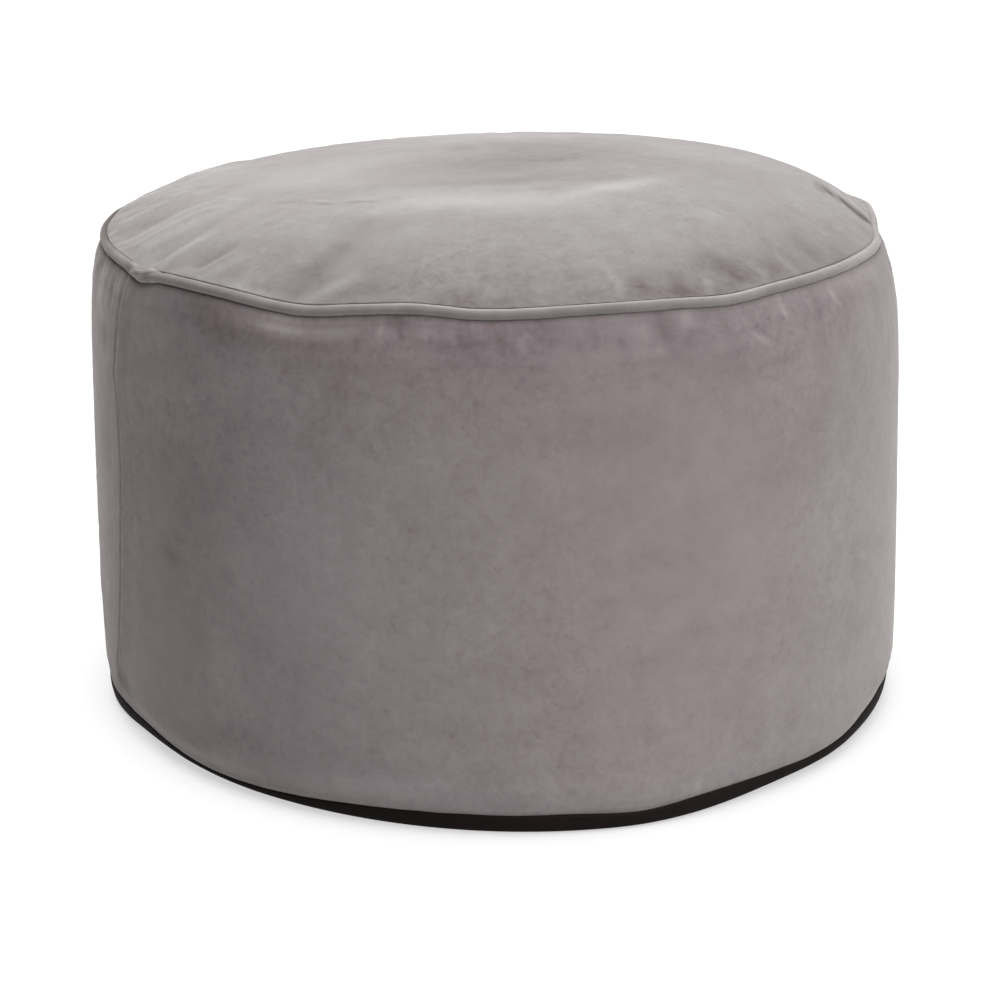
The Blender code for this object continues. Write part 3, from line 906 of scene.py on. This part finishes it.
def addPiping(material):
    bpy.ops.mesh.primitive_torus_add(major_segments=cordCover["around"],
                                     minor_segments=cordCover["sides"],
                                     major_radius=ringRadius, minor_radius=cordRadius)
    piece = startPiece("velvetPiping")
    tones = []
    for point in piece.data.vertices:
        azimuth = azimuthOf(point.co)
        angle = math.degrees(math.atan2(point.co.z, math.hypot(point.co.x, point.co.y) - ringRadius))
        off = turnBetween(cordCover["joinAzimuth"], azimuth)
        sleeve = ease((off - cordCover["sleeveStart"]) / cordCover["sleeveFades"][0])
        sleeve *= ease((cordCover["sleeveEnd"] - off) / cordCover["sleeveFades"][1])
        rumple = noise.noise(Vector((azimuth * 2.1, angle * 0.03, 5)))
        swell = cordCover["unevenness"] * noise.noise(Vector((azimuth * 0.45, angle * 0.012, 0)))
        usual, change = cordCover["sleeveSwell"]
        swell += (usual + change * rumple) * sleeve
        swell -= lapsAt(cordCover["lapGrooves"], off, angle)
        point.co = besidePiping(azimuth, angle, swell)
        # painted shade at the left of the cord, and painted light on its underside
        tone = alongTable(cordCover["tones"], azimuth) + bellsAt([cordCover["underside"]], angle)
        # painted highlight along the upper edge of the cord
        upperEdge = ease((angle - 46) / 22) * ease((125 - angle) / 12)
        tone += alongTable(cordCover["upperEdgeHighlight"], azimuth) * upperEdge
        tone -= lapsAt(cordCover["lapShades"], off, angle)
        usual, change = cordCover["sleeveTone"]
        tones.append(tone + (usual + change * rumple) * sleeve)
    # the cord's tone: painted shade, painted highlight and painted light, with the sleeve and lap
    # marks
    writeOn(piece, "pileToneAndPaintedLight", tones)
    faceOutward(piece)
    finishPiece(piece, "piping", material)
    return piece


# the base

base = {
    "rimPoints": 480,
    "turns": (12, 28, 45, 62, 78, 90),       # degrees up the rounded edge
    "ripple": 0.00025,
    "edgeFold": (0.995, 0.0002),             # in under the wall: share, and metres down
    "closingShare": 0.6,
    "closingHeight": 0.0095,
}


def baseRim(azimuth, turn):
    angle = math.radians(turn)
    low = floorRadius(azimuth) + footSwell(azimuth)
    swell = (seamRadius(azimuth) - floorRadius(azimuth)) * math.sin(angle)
    ripple = base["ripple"] * noise.noise(Vector((azimuth * 0.35, turn * 0.01, 3))) * math.sin(angle)
    return onCircle(azimuth, low + swell + ripple, seamHeight(azimuth) * (1 - math.cos(angle)))


def addBase(material):
    bpy.ops.mesh.primitive_circle_add(vertices=base["rimPoints"], radius=1, fill_type="NGON")
    piece = startPiece("baseCloth")
    for point in piece.data.vertices:
        point.co = baseRim(azimuthOf(point.co), 0)
    selectRim(piece)
    steps = [lambda co, turn=turn: baseRim(azimuthOf(co), turn) for turn in base["turns"]]
    fold, down = base["edgeFold"]
    steps.append(lambda co: Vector((co.x * fold, co.y * fold, co.z - down)))
    steps.append(pullIn(base["closingShare"], base["closingHeight"]))
    foldIn(piece, steps)
    faceOutward(piece)
    finishPiece(piece, "base_panel", material)
    return piece


# materials

mixLow, mixHigh, mixResult = 6, 7, 2         # the colour sockets of a Mix node


def addNode(tree, kind, inputs, **settings):
    # one node with its settings, and a value or a link for each named input
    node = tree.nodes.new(kind)
    for name, value in settings.items():
        setattr(node, name, value)
    for name, value in inputs.items():
        if isinstance(value, bpy.types.NodeSocket):
            tree.links.new(value, node.inputs[name])
        else:
            node.inputs[name].default_value = value
    return node


def newMaterial(name, settings):
    # the settings are what is the same all over it
    material = bpy.data.materials.new(name)
    material.use_nodes = True
    tree = material.node_tree
    shader = tree.nodes["Principled BSDF"]
    for socket, value in settings.items():
        shader.inputs[socket].default_value = value
    return material, tree


def opaque(code):
    # a colour with its alpha, as sockets take it
    return (*hexToLinear(code), 1)


def joinShader(tree, colour, bump):
    shader = tree.nodes["Principled BSDF"]
    tree.links.new(colour.outputs[mixResult], shader.inputs["Base Color"])
    tree.links.new(bump.outputs["Normal"], shader.inputs["Normal"])


def cutVelvet(name, deep, pale):
    # cotton velvet, cut pile: mottled at random, darker and paler by its painted tone (pile marks with
    # painted shade and painted highlights), and pale at grazing angles
    material, tree = newMaterial(name, {
        "Roughness": 0.9, "Specular IOR Level": 0.15, "Sheen Weight": 0.2,
        "Sheen Roughness": 0.45, "Sheen Tint": opaque("#ecefe8")})
    place = addNode(tree, "ShaderNodeTexCoord", {}).outputs["Object"]
    patches = addNode(tree, "ShaderNodeTexNoise", {      # patches of pile lying another way, 60 mm across
        "Vector": place, "Scale": mmPerMetre / 60, "Detail": 3.0, "Roughness": 0.5, "Distortion": 0.4})
    blots = addNode(tree, "ShaderNodeTexNoise", {        # finger marks, 18 mm
        "Vector": place, "Scale": mmPerMetre / 18, "Detail": 1.5, "Roughness": 0.5, "Distortion": 0.4})
    strokes = addNode(tree, "ShaderNodeTexNoise", {      # leaning tufts, 7 mm
        "Vector": place, "Scale": mmPerMetre / 7, "Detail": 1.5, "Roughness": 0.5, "Distortion": 1.2})
    flecks = addNode(tree, "ShaderNodeTexNoise", {       # small dark gaps in the pile, 4.5 mm
        "Vector": place, "Scale": mmPerMetre / 4.5, "Detail": 1.0, "Roughness": 0.5})
    pile = addNode(tree, "ShaderNodeTexNoise", {         # pile ends, drawn at 1.6 mm so they show
        "Vector": place, "Scale": mmPerMetre / 1.6, "Detail": 2.0, "Roughness": 0.6})
    # the painted tone: pile marks, with painted shade and painted highlights
    pileToneAndPaintedLight = addNode(tree, "ShaderNodeAttribute", {}, attribute_name="pileToneAndPaintedLight")
    ruffled = addNode(tree, "ShaderNodeAttribute", {}, attribute_name="ruffled")
    broad = addNode(tree, "ShaderNodeMath", {
        0: patches.outputs["Fac"], 1: 0.20, 2: 0.235}, operation="MULTIPLY_ADD")
    blotted = addNode(tree, "ShaderNodeMath", {
        0: blots.outputs["Fac"], 1: 0.16, 2: broad.outputs[0]}, operation="MULTIPLY_ADD")
    piled = addNode(tree, "ShaderNodeMath", {
        0: pile.outputs["Fac"], 1: 0.06, 2: blotted.outputs[0]}, operation="MULTIPLY_ADD")
    gaps = addNode(tree, "ShaderNodeMapRange", {
        "Value": flecks.outputs["Fac"], "From Min": 0.25, "From Max": 0.45, "To Min": -0.17,
        "To Max": -0.11})
    tufted = addNode(tree, "ShaderNodeMath", {
        0: strokes.outputs["Fac"], 1: 0.22, 2: gaps.outputs["Result"]}, operation="MULTIPLY_ADD")
    worked = addNode(tree, "ShaderNodeMath", {
        0: tufted.outputs[0], 1: ruffled.outputs["Fac"], 2: piled.outputs[0]},
        operation="MULTIPLY_ADD")
    tone = addNode(tree, "ShaderNodeMath", {
        0: pileToneAndPaintedLight.outputs["Fac"], 1: 0.5, 2: worked.outputs[0]}, operation="MULTIPLY_ADD",
        use_clamp=True)
    colour = addNode(tree, "ShaderNodeMix", {
        0: tone.outputs[0], mixLow: opaque(deep), mixHigh: opaque(pale)}, data_type="RGBA")
    tufts = addNode(tree, "ShaderNodeBump", {
        "Height": strokes.outputs["Fac"], "Strength": 0.12, "Distance": 0.0008})
    bump = addNode(tree, "ShaderNodeBump", {
        "Height": pile.outputs["Fac"], "Strength": 0.2, "Distance": 0.0003,
        "Normal": tufts.outputs["Normal"]})
    joinShader(tree, colour, bump)
    return material


def biasVelvet():
    # the same velvet cut on the bias and drawn over the cord: fine slanting ribs, with a painted
    # highlight along the top
    material, tree = newMaterial("bias cut velvet", {
        "Roughness": 0.85, "Specular IOR Level": 0.2, "Sheen Weight": 0.2,
        "Sheen Roughness": 0.4, "Sheen Tint": opaque("#ecefe8")})
    place = addNode(tree, "ShaderNodeTexCoord", {})
    aroundMm = 2 * math.pi * ringRadius * mmPerMetre
    girthMm = 2 * math.pi * cordRadius * mmPerMetre
    unrolled = addNode(tree, "ShaderNodeMapping", {     # in millimetres
        "Vector": place.outputs["UV"], "Scale": (aroundMm, girthMm, 1)})
    slanted = addNode(tree, "ShaderNodeMapping", {      # turned to the bias
        "Vector": unrolled.outputs["Vector"], "Rotation": (0, 0, math.radians(38))})
    ribs = addNode(tree, "ShaderNodeTexWave", {         # 1.5 mm apart
        "Vector": slanted.outputs["Vector"], "Scale": 0.21, "Distortion": 2.2, "Detail": 2.0,
        "Detail Scale": 1.5, "Detail Roughness": 0.6})
    patches = addNode(tree, "ShaderNodeTexNoise", {
        "Vector": place.outputs["Object"], "Scale": mmPerMetre / 14, "Detail": 4.0, "Roughness": 0.6})
    # the cord's painted tone: painted shade at the left, a painted highlight along the top, painted
    # light underneath
    pileToneAndPaintedLight = addNode(tree, "ShaderNodeAttribute", {}, attribute_name="pileToneAndPaintedLight")
    ribTone = addNode(tree, "ShaderNodeMath", {
        0: ribs.outputs["Fac"], 1: 0.025, 2: 0.11}, operation="MULTIPLY_ADD")
    mottled = addNode(tree, "ShaderNodeMath", {
        0: patches.outputs["Fac"], 1: 0.16, 2: ribTone.outputs[0]}, operation="MULTIPLY_ADD")
    tone = addNode(tree, "ShaderNodeMath", {
        0: pileToneAndPaintedLight.outputs["Fac"], 1: 0.24, 2: mottled.outputs[0]}, operation="MULTIPLY_ADD",
        use_clamp=True)
    colour = addNode(tree, "ShaderNodeMix", {
        0: tone.outputs[0], mixLow: opaque("#423b3b"), mixHigh: opaque("#b9b3b2")},
        data_type="RGBA")
    bump = addNode(tree, "ShaderNodeBump", {
        "Height": ribs.outputs["Fac"], "Strength": 0.06, "Distance": 0.0002})
    joinShader(tree, colour, bump)
    return material


def blackBaseCloth():
    # black polyester canvas: coarse threads under a thin, slightly glossy coating
    material, tree = newMaterial("black coated canvas", {
        "Roughness": 0.8, "Specular IOR Level": 0.10})
    place = addNode(tree, "ShaderNodeTexCoord", {}).outputs["Object"]
    threadMm = 1.6                                       # drawn coarser than real, so it shows
    wavesPerScale = 20                                   # that a Wave texture draws in a metre
    warp, weft = [addNode(tree, "ShaderNodeTexWave", {
        "Vector": place, "Scale": mmPerMetre / threadMm / wavesPerScale, "Distortion": 1.5,
        "Detail": 1.0, "Detail Scale": 3.0}, bands_direction=way) for way in ("X", "Z")]
    dust = addNode(tree, "ShaderNodeTexNoise", {
        "Vector": place, "Scale": mmPerMetre / 18, "Detail": 4.0, "Roughness": 0.65})
    threads = addNode(tree, "ShaderNodeMath", {
        0: warp.outputs["Fac"], 1: weft.outputs["Fac"]}, operation="MULTIPLY")
    colour = addNode(tree, "ShaderNodeMix", {
        0: dust.outputs["Fac"], mixLow: opaque("#080504"), mixHigh: opaque("#140c0a")},
        data_type="RGBA")
    bump = addNode(tree, "ShaderNodeBump", {
        "Height": threads.outputs[0], "Strength": 0.5, "Distance": 0.0003})
    joinShader(tree, colour, bump)
    return material


# the studio

studio = {
    "cameraPlace": (0.0011, -1.3481, 0.5605),
    "cameraPitch": 18.44,                                # degrees below level
    "lens": 79.85,
    "floorGlow": 0.58,
    # azimuth, elevation, softness in degrees, strength, colour, and whether it lights the floor
    "lamps": {
        "overheadSoftbox": (0, 90, 40, 4.1, "#ffffff", True),
        "keyFromRight": (60, 45, 50, 4.05, "#fcffff", False),
        "frontFill": (15, 12, 50, 1.25, "#fffafa", False),
        "rimFromBackLeft": (-153, 12, 50, 1.6, "#ffebee", False),
    },
}


def addLamp(name, azimuth, elevation, softness, strength, colour, notLit=None):
    toLamp = onCircle(azimuth, math.cos(math.radians(elevation)), math.sin(math.radians(elevation)))
    bpy.ops.object.light_add(type="SUN", location=toLamp * 3)
    lamp = bpy.context.object
    lamp.name = name
    lamp.rotation_euler = toLamp.to_track_quat("Z", "Y").to_euler()
    lamp.data.energy = strength
    lamp.data.color = hexToLinear(colour)
    lamp.data.angle = math.radians(softness)
    if notLit:
        lamp.light_linking.receiver_collection = notLit


def addStudio():
    bpy.ops.mesh.primitive_plane_add(size=60)            # its edges stay out of the picture
    floor = startPiece("paleFloor")
    material, tree = newMaterial("white acrylic sheet, lit from below", {
        "Base Color": (0.45, 0.45, 0.45, 1), "Emission Color": (1, 1, 1, 1),
        "Emission Strength": studio["floorGlow"], "Roughness": 0.9, "Specular IOR Level": 0.0})
    floor.data.materials.append(material)
    # side lamps are flagged off the floor, so the footstool throws no long shadow on it
    flagged = bpy.data.collections.new("flagged off")
    flagged.objects.link(floor)
    flagged.collection_objects[0].light_linking.link_state = "EXCLUDE"
    for name, (azimuth, elevation, softness, strength, colour, onFloor) in studio["lamps"].items():
        addLamp(name, azimuth, elevation, softness, strength, colour, None if onFloor else flagged)
    world = bpy.data.worlds.new("studio")
    world.use_nodes = True
    scene.world = world
    world.node_tree.nodes["Background"].inputs["Color"].default_value = (0, 0, 0, 1)
    bpy.ops.object.camera_add(location=studio["cameraPlace"],
                              rotation=(math.radians(90 - studio["cameraPitch"]), 0, 0))
    camera = bpy.context.object
    camera.name = "frontCamera"
    camera.data.lens = studio["lens"]
    camera.data.clip_end = 100
    scene.camera = camera
    print("studio ready")


addStudio()
# the top's copy of the velvet is painted paler and greyer than the wall's: painted light for the top
# that faces the lamps and is seen at a grazing angle
addTopPanel(cutVelvet("cut velvet, top copy painted paler", "#4c4344", "#949392"))
addSideBand(cutVelvet("cut velvet, wall copy", "#483d40", "#8a8384"))
addPiping(biasVelvet())
addBase(blackBaseCloth())
